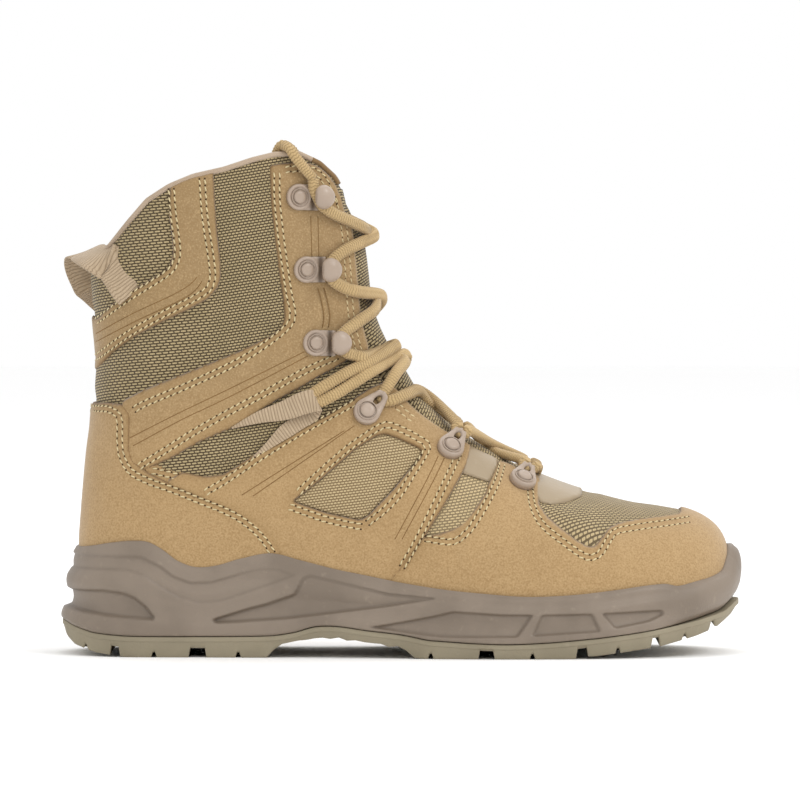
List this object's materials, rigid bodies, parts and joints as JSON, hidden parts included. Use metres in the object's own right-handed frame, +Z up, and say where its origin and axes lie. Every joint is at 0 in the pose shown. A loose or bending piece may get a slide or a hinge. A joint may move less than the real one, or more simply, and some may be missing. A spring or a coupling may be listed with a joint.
{
  "type": "tactical boot",
  "caption": "Lace-up tactical boot for the right foot, with a suede and mesh upper, hooks, tongue, pull loop, foam midsole and lugged rubber outsole.",
  "frame": {"origin": "on the ground under the middle of the sole", "axes": "+X from heel to toe, +Y towards the inner side of the foot, +Z up"},
  "size_m": [0.3046, 0.1108, 0.2282],
  "materials": {
    "outsole_rubber": "matt moulded rubber",
    "midsole_foam": "satin moulded foam",
    "insole_fabric": "knit cloth",
    "upper_mesh": "coarse woven nylon",
    "tongue_mesh": "coarse woven nylon",
    "suede": "suede",
    "webbing": "ribbed webbing",
    "hardware": "satin paint",
    "lace": "braided cord"
  },
  "bodies": {
    "root": {"outsole": "outsole_rubber", "midsole": "midsole_foam", "insole": "insole_fabric", "upper": "upper_mesh", "tongue": "tongue_mesh", "heel_counter": "suede", "rear_strap": "suede", "toe_rand": "suede", "pull_loop": "webbing", "eyestay_lateral": "suede", "quarter_lateral": "suede", "keeper_lateral": "webbing", "hook_lateral_1": "hardware", "hook_lateral_2": "hardware", "hook_lateral_3": "hardware", "eyelet_lateral_1": "hardware", "eyelet_lateral_2": "hardware", "eyelet_lateral_3": "hardware", "lace_end_lateral": "lace", "eyestay_medial": "suede", "quarter_medial": "suede", "keeper_medial": "webbing", "hook_medial_1": "hardware", "hook_medial_2": "hardware", "hook_medial_3": "hardware", "eyelet_medial_1": "hardware", "eyelet_medial_2": "hardware", "eyelet_medial_3": "hardware", "lace_end_medial": "lace", "lace_crossing_1": "lace", "lace_crossing_2": "lace", "lace_crossing_3": "lace", "lace_crossing_4": "lace", "lace_crossing_5": "lace", "lace_toe_bar": "lace"}
  },
  "joints": []
}
